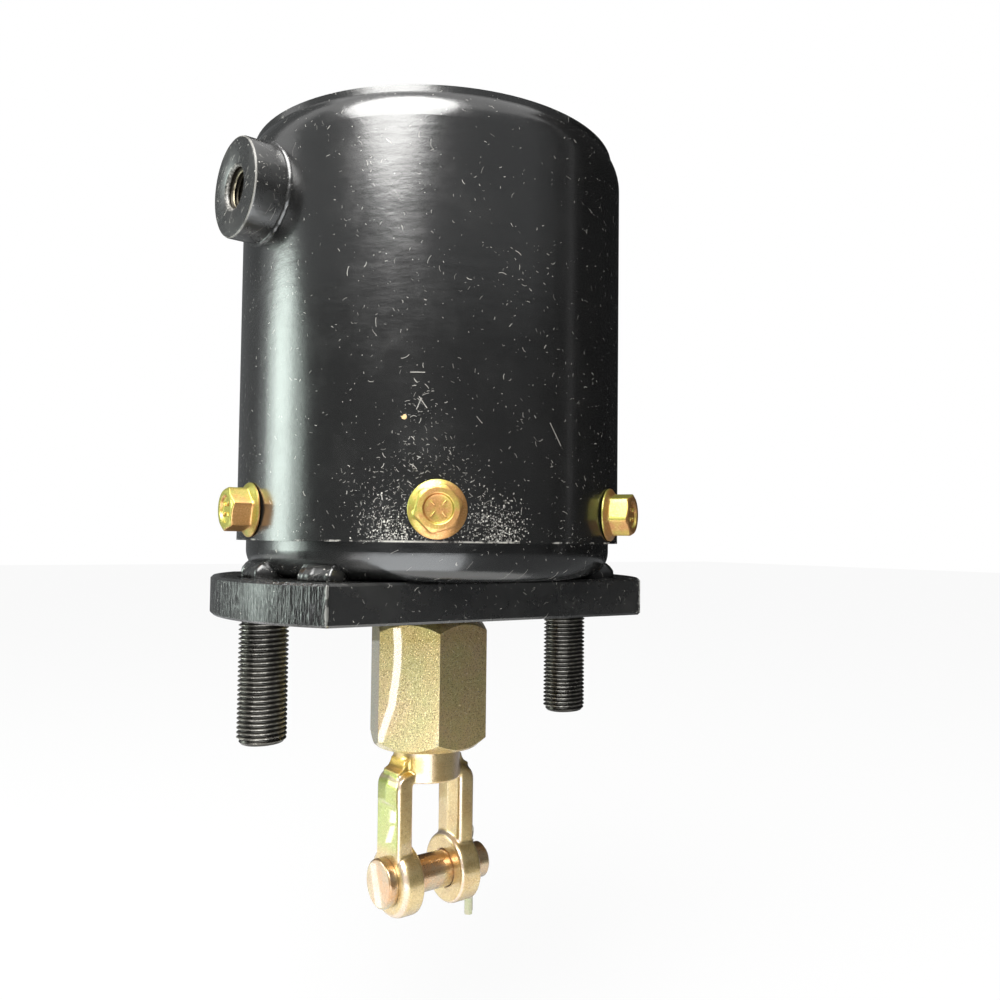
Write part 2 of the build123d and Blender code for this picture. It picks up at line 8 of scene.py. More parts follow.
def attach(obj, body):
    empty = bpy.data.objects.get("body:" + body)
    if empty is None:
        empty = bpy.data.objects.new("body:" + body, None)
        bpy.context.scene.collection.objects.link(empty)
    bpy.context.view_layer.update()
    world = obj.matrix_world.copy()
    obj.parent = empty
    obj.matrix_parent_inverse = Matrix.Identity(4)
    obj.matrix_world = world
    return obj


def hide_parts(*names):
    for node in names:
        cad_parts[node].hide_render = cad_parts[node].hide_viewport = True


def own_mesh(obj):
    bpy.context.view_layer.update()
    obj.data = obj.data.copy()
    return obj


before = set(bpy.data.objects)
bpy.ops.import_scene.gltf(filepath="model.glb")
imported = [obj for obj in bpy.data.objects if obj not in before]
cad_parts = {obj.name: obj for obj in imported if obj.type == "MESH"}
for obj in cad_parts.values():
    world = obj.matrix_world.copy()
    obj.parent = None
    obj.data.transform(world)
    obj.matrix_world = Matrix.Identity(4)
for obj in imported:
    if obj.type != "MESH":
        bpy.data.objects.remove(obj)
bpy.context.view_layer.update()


# Studio: a pale floor below the reach of the rod, a white surround, a softbox high on the left
# and a tall strip light behind on the left. Dark cards on the right keep the gloss black there,
# and thin tubes draw the bright lines in the plating; only reflections see the cards and tubes.
class Signal:
    """One output in a node tree. Sums, products and comparisons on it add Math nodes."""

    def __init__(self, tree, socket):
        self.tree, self.socket = tree, socket

    def out(self, name):
        """Another output of the same node."""
        return Signal(self.tree, self.socket.node.outputs[name])

    def maths(self, operation, *values):
        return self.tree.node("ShaderNodeMath", {"operation": operation}, dict(enumerate(values)))

    def over(self, other):
        """The higher of the two at each point."""
        return self.maths("MAXIMUM", self, other)

    def __abs__(self):
        return self.maths("ABSOLUTE", self)

    def __add__(self, other):
        return self.maths("ADD", self, other)

    def __sub__(self, other):
        return self.maths("SUBTRACT", self, other)

    def __mul__(self, other):
        return self.maths("MULTIPLY", self, other)

    def __gt__(self, other):
        return self.maths("GREATER_THAN", self, other)

    def __lt__(self, other):
        return self.maths("LESS_THAN", self, other)

    def __radd__(self, other):
        return self.maths("ADD", other, self)

    def __rsub__(self, other):
        return self.maths("SUBTRACT", other, self)


class NodeTree:
    """A node tree that grows one node at a time."""

    def __init__(self, tree, bare=False):
        self.tree = tree
        if bare:
            tree.nodes.clear()

    def node(self, kind, settings=None, inputs=None, output=0):
        """Add a node: its settings first, then the values or links of its sockets."""
        node = self.tree.nodes.new(kind)
        for name, value in (settings or {}).items():
            if name == "stops":
                ramp = node.color_ramp
                while len(ramp.elements) < len(value):
                    ramp.elements.new(0.5)
                for element, (position, colour) in zip(ramp.elements, value):
                    element.position, element.color = position, (*colour, 1)
            else:
                setattr(node, name, value)
        for name, value in (inputs or {}).items():
            self.feed(node.inputs[name], value)
        return Signal(self, node.outputs[output]) if node.outputs else None

    def feed(self, socket, value):
        """Link a signal to a socket, or set its value."""
        if isinstance(value, Signal):
            self.tree.links.new(value.socket, socket)
        elif isinstance(value, tuple) and len(value) == 3 and socket.type == "RGBA":
            socket.default_value = (*value, 1)
        else:
            socket.default_value = value

    def vectors(self, operation, *values):
        """Vector maths; a dot product, a length or a distance comes out as one number."""
        single = operation in ("DOT_PRODUCT", "LENGTH", "DISTANCE")
        return self.node("ShaderNodeVectorMath", {"operation": operation},
                         dict(enumerate(values)), "Value" if single else "Vector")

    def split(self, vector):
        """X of a vector, with Y and Z as its other outputs."""
        return self.node("ShaderNodeSeparateXYZ", inputs={0: vector})

    def mix(self, factor, first, second, **settings):
        """Colour between two colours, or their product or sum."""
        return self.node("ShaderNodeMix", {"data_type": "RGBA", **settings},
                         {"Factor": factor, 6: first, 7: second}, output=2)


scene = bpy.context.scene
scene.view_settings.view_transform = "Standard"

floor_z = -0.1705
card_foot = -0.1117
floor_mesh = bmesh.new()
bmesh.ops.create_grid(floor_mesh, x_segments=1, y_segments=1, size=6)
bmesh.ops.translate(floor_mesh, vec=(0, 0, floor_z), verts=floor_mesh.verts)
floor_data = bpy.data.meshes.new("floor")
floor_mesh.to_mesh(floor_data)
floor = bpy.data.objects.new("floor", floor_data)
scene.collection.objects.link(floor)

floor_paint = bpy.data.materials.new("floor_white")
floor_paint.use_nodes = True
floor_tree = NodeTree(floor_paint.node_tree, bare=True)
floor_grain = floor_tree.node("ShaderNodeTexNoise", inputs={"Scale": 3.0, "Detail": 2.0})
floor_tone = floor_tree.mix(floor_grain, (0.86, 0.86, 0.86), (0.9, 0.9, 0.9))
floor_matt = floor_tree.node("ShaderNodeBsdfDiffuse", inputs={"Color": floor_tone})
floor_glow = floor_tree.node(
    "ShaderNodeEmission", inputs={"Color": (1.0, 1.0, 1.0), "Strength": 1.0})
floor_eye = floor_tree.node("ShaderNodeLightPath").out("Is Camera Ray")
floor_mix = floor_tree.node(
    "ShaderNodeMixShader", inputs={0: floor_eye * 0.93, 1: floor_matt, 2: floor_glow})
floor_tree.node("ShaderNodeOutputMaterial", inputs={"Surface": floor_mix})
floor_data.materials.append(floor_paint)

world = bpy.data.worlds.new("surround")
world.use_nodes = True
scene.world = world
sky = NodeTree(world.node_tree, bare=True)
sky_path = sky.node("ShaderNodeLightPath")
sky_seen = sky_path.out("Is Camera Ray").over(sky_path.out("Is Transmission Ray"))
sky_seen = sky_seen.over(sky_path.out("Is Glossy Ray"))
room_light = 0.3
sky_level = sky_seen * (1.0 - room_light) + room_light
sky_shell = sky.node(
    "ShaderNodeBackground", inputs={"Color": (1.0, 1.0, 1.0), "Strength": sky_level})
sky.node("ShaderNodeOutputWorld", inputs={"Surface": sky_shell})
middle_z = 0.03


def compass(azimuth, elevation, distance):
    """Point at an azimuth and elevation, in degrees, from the middle of the object."""
    flat = cos(radians(elevation)) * distance
    return Vector((flat * cos(radians(azimuth)), flat * sin(radians(azimuth)),
                   middle_z + sin(radians(elevation)) * distance))


def area_light(name, shape, azimuth, elevation, distance, size, radiance, colour):
    """Flat lamp that faces the object and shows this radiance in its reflection."""
    lamp = bpy.data.lights.new(name, "AREA")
    lamp.shape, lamp.size, lamp.size_y = shape, size[0], size[1]
    face = size[0] * size[1] * (pi / 4 if shape == "ELLIPSE" else 1.0)
    lamp.energy = radiance * pi * face
    lamp.color = colour
    holder = bpy.data.objects.new(name, lamp)
    holder.location = compass(azimuth, elevation, distance)
    aim = Vector((0, 0, middle_z)) - holder.location
    holder.rotation_euler = aim.to_track_quat("-Z", "Y").to_euler()
    scene.collection.objects.link(holder)


area_light("softbox", "ELLIPSE", 219.5, 50.5, 0.95, (0.8, 0.9), 11.0, (1.0, 0.995, 0.975))
area_light("strip_light", "RECTANGLE", 151, 6.5, 1.1, (0.26, 0.5), 4.0, (0.86, 1.0, 0.92))
area_light("strip_spill", "ELLIPSE", 151, 6.5, 1.12, (0.66, 0.58), 3.0, (0.86, 1.0, 0.92))


def glowing_card(name, mesh, colour, strength):
    """Stage card that only reflections see."""
    data = bpy.data.meshes.new(name)
    mesh.to_mesh(data)
    card = bpy.data.objects.new(name, data)
    scene.collection.objects.link(card)
    card.visible_camera = card.visible_diffuse = card.visible_shadow = False
    material = bpy.data.materials.new(name)
    material.use_nodes = True
    tree = NodeTree(material.node_tree, bare=True)
    glow = tree.node("ShaderNodeEmission", inputs={"Color": colour, "Strength": strength})
    tree.node("ShaderNodeOutputMaterial", inputs={"Surface": glow})
    data.materials.append(material)


def flag(name, start, end, near, far, tone):
    """Bent card from one azimuth to another; near and far are its edges' radius and height."""
    mesh = bmesh.new()
    turn = Matrix.Rotation(radians(start), 3, "Z")
    ends = [mesh.verts.new(turn @ Vector((radius, 0, height))) for radius, height in (near, far)]
    edge = mesh.edges.new(ends)
    bmesh.ops.spin(mesh, geom=[*ends, edge], axis=(0, 0, 1), cent=(0, 0, 0),
                   angle=radians(end - start), steps=24)
    glowing_card(name, mesh, (0.95, 0.98, 1.0), tone)


side_foot = (0.9, card_foot)
front_foot = (1.4, card_foot)
flag("dark_flag", -32, 80, side_foot, (0.9, 1.6), 0.015)
flag("side_flag", 80, 128, side_foot, (0.9, 1.6), 0.16)
flag("boss_flag", 128, 138, side_foot, (0.9, 0.42), 0.42)
flag("high_boss_flag", 128, 138, (0.9, 0.42), (0.9, 1.6), 0.18)
for index, (start, end, share) in enumerate(((158, 304, 0.95), (304, 315, 0.6), (315, 328, 0.25))):
    flag(f"front_flag_{index}", start, end, front_foot, (1.4, 0.45), 0.10 * share)
    flag(f"upper_flag_{index}", start, end, (1.4, 0.45), (1.4, 1.7), 0.36 * share)
flag("far_floor_flag", 158, 328, side_foot, front_foot, 0.1)
flag("floor_flag", 262, 400, (0.1, card_foot), side_foot, 0.22)
flag("left_floor_flag", 160, 198, (0.1, card_foot), side_foot, 0.12)
flag("side_floor_flag", 60, 125, (0.15, card_foot), side_foot, 0.45)
flag("floor_glow", 207, 262, (0.1, card_foot), side_foot, 3.4)


def light_tube(name, points, across, radiance):
    """Thin bright tube, seen only as a line in the gloss of plated parts."""
    mesh = bmesh.new()
    spots = [mesh.verts.new(point) for point in points]
    lines = [mesh.edges.new(pair) for pair in zip(spots, spots[1:])]
    grown = bmesh.ops.extrude_edge_only(mesh, edges=lines)["geom"]
    far_edge = [item for item in grown if isinstance(item, bmesh.types.BMVert)]
    bmesh.ops.translate(mesh, vec=across, verts=far_edge)
    glowing_card(name, mesh, (1.0, 0.95, 0.97), radiance)


bent_line = [(201.89, -0.0327), (202.05, -0.0436), (202.03, -0.0565), (201.76, -0.0694),
             (201.43, -0.0822), (200.62, -0.0949), (199.98, -0.1060)]
bent_reach = 0.3
bent_points = [(bent_reach * cos(radians(turn)), bent_reach * sin(radians(turn)), height)
               for turn, height in bent_line]
light_tube("bent_tube", bent_points, (0.0017, -0.0047, 0), 8.5)
tube_z = card_foot - 0.0006
for name, start, end, across, radiance in (
        ("pin_tube", (-0.0340, 0.0190), (-0.0605, 0.0600), (-0.0018, -0.0016, 0), 4.0),
        ("short_tube", (-0.0745, 0.0775), (-0.0905, 0.0950), (-0.0018, -0.0017, 0), 7.0),
        ("arm_tube", (-0.0930, 0.0990), (-0.1500, 0.1720), (-0.0042, -0.0040, 0), 7.0)):
    light_tube(name, [(*start, tube_z), (*end, tube_z)], across, radiance)

eye = bpy.data.cameras.new("eye")
eye.lens, eye.sensor_width = 32.654, 36.0
camera = bpy.data.objects.new("camera", eye)
camera.matrix_world = (
    Matrix.Translation((-0.151508, -0.294146, 0.026179))
    @ Matrix.Rotation(radians(58.353 - 90), 4, "Z")
    @ Matrix.Rotation(radians(90 + 2.421), 4, "X")
    @ Matrix.Rotation(radians(0.646), 4, "Z"))
scene.collection.objects.link(camera)
scene.camera = camera


# Housing cup: steel drawn deep from one sheet, rounded at its closed end, with a plain cut edge
# below the bolts. It is sprayed gloss black, and has picked up dust, lint and fine scratches.
class Finish(NodeTree):
    """A procedural finish: one shader, and the nodes that vary it over the surface."""

    def __init__(self, name, **constants):
        self.material = bpy.data.materials.new(name)
        self.material.use_nodes = True
        super().__init__(self.material.node_tree)
        self.shader = self.tree.nodes["Principled BSDF"]
        for socket, value in constants.items():
            self.feed(self.shader.inputs[socket.replace("_", " ")], value)
        self.place = self.node("ShaderNodeTexCoord", output="Object")

    def set(self, socket, value):
        self.feed(self.shader.inputs[socket], value)

    def between(self, value, low, high, first=0.0, second=1.0):
        """Smooth climb from first to second as a value goes from low to high."""
        return self.node("ShaderNodeMapRange", {"interpolation_type": "SMOOTHSTEP"},
                         {0: value, 1: low, 2: high, 3: first, 4: second})

    def cloud(self, scale, detail=3.0, stretch=(1.0, 1.0, 1.0), turn=(0.0, 0.0, 0.0), rough=0.5):
        """Soft random patches; a stretch above 1 packs them tighter along that axis."""
        place = self.node("ShaderNodeMapping", inputs={"Vector": self.place, "Scale": stretch,
                                                       "Rotation": turn})
        return self.node("ShaderNodeTexNoise", inputs={
            "Vector": place, "Scale": scale, "Detail": detail, "Roughness": rough})

    def bump(self, height, depth, normal=None):
        """Surface relief of this depth in metres."""
        inputs = {"Height": height, "Distance": depth, "Strength": 1.0}
        if normal is not None:
            inputs["Normal"] = normal
        return self.node("ShaderNodeBump", inputs=inputs)

    def cells(self, place, spacing, kind="2D"):
        """Random cells about a spacing apart: how far their middle is, and their luck."""
        cell = self.node("ShaderNodeTexVoronoi", {"voronoi_dimensions": kind},
                         {"Vector": place, "Scale": 1 / spacing})
        return cell, self.split(cell.out("Color"))


def dust_dots(finish, spacing, size, share):
    """Round specks about a spacing apart, in metres; share is how many cells hold one."""
    cell, luck = finish.cells(finish.place, spacing, "3D")
    reach = luck.out("Y") * (0.7 * size / spacing) + 0.3 * size / spacing
    return (cell < reach) * (luck > 1 - share) * (luck.out("Z") * 0.6 + 0.4)


def slanted(finish):
    """Flat place for a pattern that isn't stretched much on faces turned any way."""
    first = finish.vectors("DOT_PRODUCT", finish.place, (1.0, 0.6, 0.0))
    second = finish.vectors("DOT_PRODUCT", finish.place, (0.0, 0.8, 1.0))
    return finish.node("ShaderNodeCombineXYZ", inputs={0: first, 1: second})


def crumbs(finish, place, spacing, size, share):
    """Grains of dirt on a flat place, each with its own size and strength."""
    cell, luck = finish.cells(place, spacing)
    reach = luck.out("Y") * (0.4 * size / spacing) + 0.1 * size / spacing
    return (cell < reach) * (luck > 1 - share) * (luck.out("Z") * luck.out("Z") * 0.75 + 0.2)


def lint(finish, place, spacing, width, length, share):
    """Loose fibres on a flat place, each with its own direction, bend, length and strength."""
    cell, luck = finish.cells(place, spacing)
    away = finish.vectors("SUBTRACT", place, cell.out("Position"))
    laid = finish.node("ShaderNodeVectorRotate", {"rotation_type": "Z_AXIS"},
                       {"Vector": away, "Angle": luck.out("Y") * (2 * pi)})
    along = finish.split(laid)
    across = along.out("Y") + along * along * (luck.out("Z") - 0.5) * (1.8 / length)
    reach = luck.out("Z") * (0.35 * length) + 0.15 * length
    fibre = (abs(across) < width / 2) * (abs(along) < reach)
    toss = luck.maths("FRACT", luck.out("Y") * 9.0)
    return fibre * (luck > 1 - share) * (toss * toss * 0.62 + 0.16)


def with_lint(finish, specks, place, rows):
    """Specks with fibres over them: each row is a spacing, a width, a length and a share."""
    for row in rows:
        specks = specks.over(lint(finish, place, *row))
    return specks


def scratch(finish, place, start, end, width):
    """One straight scratch between two points of a flat place."""
    foot, run = Vector(start), Vector(end) - Vector(start)
    ahead = run / run.length
    aside = Vector((-ahead.y, ahead.x, 0))
    along = finish.vectors("DOT_PRODUCT", place, tuple(ahead)) - ahead.dot(foot)
    across = finish.vectors("DOT_PRODUCT", place, tuple(aside)) - aside.dot(foot)
    return (abs(across) < width / 2) * (along > 0) * (along < run.length)


dust_colour = (0.62, 0.6, 0.55)


def black_paint(name, gloss, film):
    """Sprayed black enamel: gloss is its roughness, film the strength of its dust haze."""
    finish = Finish(name, Specular_IOR_Level=0.95, Coat_Weight=0.4, Coat_Roughness=0.16)
    patches = finish.cloud(28.0, 4.0)
    smudge = finish.between(finish.cloud(75.0, 5.0, rough=0.65), 0.42, 0.72)
    fine = finish.cloud(1600.0, 2.0)
    haze = patches * film + smudge * (0.7 * film) + fine * (0.5 * film)
    colour = finish.mix(haze, (0.0062, 0.0063, 0.0064), (0.2, 0.195, 0.18))
    rough = gloss + smudge * 0.06 + haze * 0.4
    runs = finish.cloud(90.0, 3.0, (1.0, 1.0, 3.5))
    height = finish.cloud(430.0, 2.0) + fine * 0.3 + runs * 2.2
    return finish, colour, rough, height


def finish_paint(parts, specks, relief=None):
    """Lay specks over a coat of paint and wire it all to the shader."""
    finish, colour, rough, height = parts
    finish.set("Base Color", finish.mix(specks, colour, dust_colour))
    finish.set("Roughness", rough + specks * 0.35)
    finish.set("Normal", finish.bump(height, 0.00003, relief))
    return finish.material


cup_wall_r = 0.0675
cup_crown_r = 0.048
bolt_z = 0.0344
cup_parts = black_paint("black_paint_cup", 0.19, 0.016)
cup_coat = cup_parts[0]
cup_spot = cup_coat.split(cup_coat.place)
cup_height = cup_spot.out("Z")
arc = cup_spot.maths("ARCTAN2", cup_spot.out("Y"), cup_spot) * cup_wall_r
cup_reach = cup_spot.maths("SQRT", cup_spot * cup_spot + cup_spot.out("Y") * cup_spot.out("Y"))
unrolled = cup_coat.node("ShaderNodeCombineXYZ", inputs={
    0: arc, 1: cup_height + cup_wall_r - cup_reach})
unrolled = cup_coat.node("ShaderNodeMix", {"data_type": "VECTOR"}, {
    "Factor": cup_reach < cup_crown_r, 4: unrolled, 5: cup_coat.place}, output=1)


def on_wall(azimuth, height):
    """Point of the unrolled wall, from an azimuth in degrees and a height."""
    return (radians((azimuth + 180) % 360 - 180) * cup_wall_r, height, 0.0)


def near_wall_spot(azimuth, height, inner, outer):
    """How near the surface is to a point of the wall: 1 inside, falling to 0 outside."""
    gap = cup_coat.vectors("DISTANCE", unrolled, on_wall(azimuth, height))
    return cup_coat.between(gap, inner, outer, 1.0, 0.0)


near_bolt = near_wall_spot(244.5, bolt_z, 0.011, 0.034)
above_bolt = near_wall_spot(240.3, 0.0655, 0.001, 0.010)
seam_left = near_wall_spot(234, 0.0262, 0.001, 0.012)
seam_right = near_wall_spot(261, 0.0272, 0.002, 0.013)
near_edge = cup_coat.between(cup_height, 0.0255, 0.045, 1.0, 0.0)
dusty = cup_coat.cloud(38.0, 3.0) * 0.7 + near_bolt * 0.35 + near_edge * 0.1 + above_bolt * 0.35
lint_share = cup_coat.between(dusty, 0.38, 1.0, 0.04, 0.75)
cup_specks = with_lint(
    cup_coat, crumbs(cup_coat, unrolled, 0.0015, 0.00024, lint_share * 1.5), unrolled,
    ((0.0022, 0.00016, 0.0019, lint_share), (0.0013, 0.00014, 0.0010, lint_share),
     (0.0031, 0.00017, 0.0036, lint_share * 0.3)))
fans = seam_left.over(seam_right) * cup_coat.between(
    cup_coat.cloud(260.0, 4.0, rough=0.7), 0.35, 0.6, 0.15, 1.0)
cup_specks = cup_specks.over(crumbs(
    cup_coat, unrolled, 0.00052, 0.00062, fans * 0.75 + near_bolt * near_edge * 0.13) * 1.1)
scuffs = cup_coat.cloud(220.0, 5.0, rough=0.7) + near_bolt * 0.12
scuffed_edge = cup_coat.between(cup_height, 0.02505, 0.02535, 1.0, 0.0)
scuffed_edge = scuffed_edge * cup_coat.between(scuffs, 0.52, 0.64)
cup_specks = cup_specks.over(scuffed_edge * 0.65)
for start, end in (((237.3, 0.0743), (241.0, 0.0743)), ((275.1, 0.0616), (279.0, 0.0548)),
                   ((239.6, 0.0672), (241.6, 0.0638)), ((240.2, 0.0668), (239.0, 0.0634))):
    mark = scratch(cup_coat, unrolled, on_wall(*start), on_wall(*end), 0.00022)
    cup_specks = cup_specks.over(mark * 0.6)
fleck_noise = cup_coat.node(
    "ShaderNodeTexNoise", inputs={"Vector": cup_coat.place, "Scale": 900.0}, output="Color")
fleck_bend = cup_coat.vectors("MULTIPLY_ADD", fleck_noise, (0.0014, 0.0014, 0.0014), cup_coat.place)
fleck = cup_coat.vectors("DISTANCE", fleck_bend, (-0.03709, -0.05523, 0.06181)) < 0.00075
cup_parts = (cup_coat, cup_coat.mix(fleck, cup_parts[1], (0.75, 0.52, 0.27)), *cup_parts[2:])
cup_paint = finish_paint(cup_parts, cup_specks * 0.9)


def dress(node, material):
    """Give a carried-over piece its finish."""
    for material_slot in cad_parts[node].material_slots:
        material_slot.material = material


dress("housing_cup", cup_paint)


# Port boss: a short turned steel boss, saddled to the cup and painted with it, with a pipe thread
# left bare inside. A thin weld bead runs round its foot.
boss_z = 0.1357
boss_turn = radians(187.8)
boss_axis = Matrix.Rotation(boss_turn, 4, "Z") @ Matrix.Rotation(radians(90), 4, "Y")
boss_place = Matrix.Translation((0, 0, boss_z)) @ boss_axis
boss_r = 0.0159
boss_face = 0.077
port_bore_r = 0.0057
port_root_r = 0.00655


def ring_stack(rules, steps):
    """Open-ended skin through rings; each rule gives radius and height at an angle."""
    mesh = bmesh.new()
    bmesh.ops.create_circle(mesh, segments=steps, radius=1.0)
    ring, loop = list(mesh.verts), list(mesh.edges)
    for index, rule in enumerate(rules):
        if index:
            grown = bmesh.ops.extrude_edge_only(mesh, edges=loop)["geom"]
            ring = [item for item in grown if isinstance(item, bmesh.types.BMVert)]
            loop = [item for item in grown if isinstance(item, bmesh.types.BMEdge)
                    and item.verts[0] in ring and item.verts[1] in ring]
        for vert in ring:
            angle = atan2(vert.co.y, vert.co.x)
            radius, height = rule(angle)
            vert.co = (radius * cos(angle), radius * sin(angle), height)
    return mesh


def close_ends(mesh):
    """Fill every open rim and turn the faces outwards."""
    rims = [edge for edge in mesh.edges if edge.is_boundary]
    bmesh.ops.holes_fill(mesh, edges=rims, sides=0)
    bmesh.ops.recalc_face_normals(mesh, faces=mesh.faces)


def seat_on_cup(mesh):
    """Join a boss ring's first and last rows, and move it to its place on the cup."""
    bmesh.ops.remove_doubles(mesh, verts=mesh.verts, dist=1e-6)
    bmesh.ops.recalc_face_normals(mesh, faces=mesh.faces)
    bmesh.ops.transform(mesh, matrix=boss_place, verts=mesh.verts)


def make_piece(name, mesh, material, body="housing", smooth=35.0):
    """Turn a finished mesh into a piece that rides on its body."""
    data = bpy.data.meshes.new(name)
    mesh.to_mesh(data)
    mesh.free()
    data.shade_smooth()
    data.set_sharp_from_angle(angle=radians(smooth))
    data.materials.append(material)
    piece = bpy.data.objects.new(name, data)
    scene.collection.objects.link(piece)
    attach(piece, body)
    return piece


def saddle(radius):
    """Rule for a ring that lies on the cup's wall round the boss."""
    return lambda angle: (radius, sqrt(cup_wall_r ** 2 - (radius * cos(angle + pi / 2)) ** 2))


def level(radius, height):
    """Rule for a plain round ring."""
    return lambda angle: (radius, height)


boss_parts = black_paint("black_paint_boss", 0.25, 0.045)
boss_coat = boss_parts[0]
boss_line = tuple(boss_axis.to_3x3() @ Vector((0, 0, 1)))


def off_boss_axis(finish):
    """Distance from the boss's axis, and along it."""
    arm = finish.vectors("SUBTRACT", finish.place, (0.0, 0.0, boss_z))
    reach = finish.vectors("LENGTH", finish.vectors("CROSS_PRODUCT", arm, boss_line))
    return reach, finish.vectors("DOT_PRODUCT", arm, boss_line)


boss_reach, boss_depth = off_boss_axis(boss_coat)
boss_specks = with_lint(
    boss_coat, dust_dots(boss_coat, 0.0028, 0.0003, 0.5) * 0.7, slanted(boss_coat),
    ((0.0024, 0.00014, 0.0019, 0.28), (0.0015, 0.00013, 0.0011, 0.28)))
edge_wear = boss_coat.between(boss_reach, boss_r - 0.0006, boss_r - 0.0004)
edge_wear = edge_wear * (boss_depth > boss_face - 0.0006)
edge_wear = edge_wear * boss_coat.between(boss_coat.cloud(260.0, 4.0), 0.3, 0.5, 0.35, 1.0)
ragged_reach = boss_reach + boss_coat.cloud(500.0, 4.0, rough=0.7) * 0.0022
mouth_wear = boss_coat.between(ragged_reach, 0.0079, 0.0088, 1.0, 0.0)
mouth_wear = mouth_wear * boss_coat.between(boss_coat.cloud(1300.0, 3.0), 0.4, 0.7, 0.1, 0.6)
boss_specks = boss_specks.over((edge_wear * 0.35).over(mouth_wear))
boss_turning = boss_coat.bump(boss_coat.cloud(90.0, 2.0, (1.0, 1.0, 9.0)), 0.00006)
boss_paint = finish_paint(boss_parts, boss_specks, boss_turning)

boss_rings = [
    saddle(port_root_r), saddle(boss_r - 0.0004), saddle(boss_r),
    level(boss_r, boss_face - 0.0009), level(boss_r - 0.0002, boss_face - 0.00035),
    level(boss_r - 0.0007, boss_face), level(port_root_r + 0.00095, boss_face),
    level(port_root_r + 0.0007, boss_face - 0.0001), level(port_root_r, boss_face - 0.0008),
    saddle(port_root_r)]
boss_mesh = ring_stack(boss_rings, 96)
seat_on_cup(boss_mesh)
boss = make_piece("boss_body", boss_mesh, boss_paint)
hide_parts("port_boss")


def helical(profile, pitch, start, turns, steps):
    """Thread skin: one pitch of profile, as (radius, height) points, wound up round Z."""
    mesh = bmesh.new()
    points = [mesh.verts.new((radius, 0, start + height)) for radius, height in profile]
    edges = [mesh.edges.new(pair) for pair in zip(points, points[1:])]
    bmesh.ops.spin(mesh, geom=points + edges, axis=(0, 0, 1), cent=(0, 0, 0),
                   dvec=(0, 0, pitch / steps), angle=2 * pi * turns, steps=steps * turns)
    bmesh.ops.remove_doubles(mesh, verts=mesh.verts, dist=pitch / 500)
    return mesh


def trim(mesh, low, high):
    """Cut a skin square at two heights."""
    for height, direction in ((low, -1), (high, 1)):
        whole = mesh.verts[:] + mesh.edges[:] + mesh.faces[:]
        bmesh.ops.bisect_plane(mesh, geom=whole, dist=1e-7, clear_outer=True,
                               plane_co=(0, 0, height), plane_no=(0, 0, direction))


def at_radius(vert, radius):
    """Slide a point square to Z until it is this far from Z."""
    share = radius / Vector((vert.co.x, vert.co.y)).length
    vert.co.x *= share
    vert.co.y *= share


port_pitch = 0.00141
port_depth = cup_wall_r - 0.0004
port_profile = [
    (port_root_r, 0), (port_bore_r, 0.42 * port_pitch), (port_bore_r, 0.56 * port_pitch),
    (port_root_r, 0.98 * port_pitch), (port_root_r, port_pitch)]
port_mesh = helical(port_profile, port_pitch, port_depth - port_pitch, 10, 48)
trim(port_mesh, port_depth, boss_face - 0.0012)
for vert in port_mesh.verts:
    mouth = port_bore_r + max(0.0, vert.co.z - (boss_face - 0.0026))
    if Vector((vert.co.x, vert.co.y)).length < mouth:
        at_radius(vert, min(mouth, port_root_r))
bmesh.ops.recalc_face_normals(port_mesh, faces=port_mesh.faces)
bmesh.ops.reverse_faces(port_mesh, faces=port_mesh.faces)
bmesh.ops.transform(port_mesh, matrix=boss_place, verts=port_mesh.verts)

bare_thread = Finish("bare_port_thread", Metallic=0.8)
thread_reach, thread_depth = off_boss_axis(bare_thread)
thread_patch = bare_thread.cloud(700.0, 4.0, rough=0.65)
# Painted shade: the thread roots and the bore more than a few millimetres in are painted near
# black; only the crests near the mouth keep the bare metal's tone.
unshaded_crest = bare_thread.between(thread_reach - thread_patch * 0.0004, 0.0055, 0.0060, 1.0, 0.0)
unshaded_mouth = bare_thread.between(thread_depth, boss_face - 0.0045, boss_face - 0.001)
thread_tone = bare_thread.mix(thread_patch, (0.60, 0.50, 0.30), (0.80, 0.74, 0.58))
bare_thread.set("Base Color", bare_thread.mix(
    unshaded_crest * unshaded_mouth, (0.035, 0.03, 0.022), thread_tone))
bare_thread.set("Roughness", thread_patch * 0.25 + 0.3)
bare_thread.set("Normal", bare_thread.bump(thread_patch, 0.00006))
port_thread = make_piece("port_thread", port_mesh, bare_thread.material)

bead_leg = 0.00105


def bead(out, up):
    """Rule for a ring of the boss's weld bead, with the ripple of its short runs."""
    def rule(angle):
        ripple = 0.82 + 0.18 * noise.noise(Vector((9 * cos(angle), 9 * sin(angle), 3.0)))
        radius = boss_r + bead_leg * out * ripple
        return radius, saddle(radius)(angle)[1] + bead_leg * up * ripple
    return rule


weld_parts = black_paint("black_paint_weld", 0.25, 0.04)
weld_coat = weld_parts[0]
weld_relief = weld_coat.bump(weld_coat.cloud(420.0, 4.0), 0.00012)
weld_specks = with_lint(weld_coat, dust_dots(weld_coat, 0.0019, 0.00035, 0.6) * 0.8,
                        slanted(weld_coat), ((0.0022, 0.00017, 0.0024, 0.3),))
weld_paint = finish_paint(weld_parts, weld_specks, weld_relief)
bead_rings = [bead(-0.1, 0), bead(1.0, 0.0), bead(0.93, 0.35), bead(0.7, 0.68), bead(0.38, 0.92),
              bead(0.05, 1.0), bead(-0.1, 0.9), bead(-0.1, 0)]
bead_mesh = ring_stack(bead_rings, 144)
seat_on_cup(bead_mesh)
boss_bead = make_piece("boss_weld_bead", bead_mesh, weld_paint)
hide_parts("port_weld")


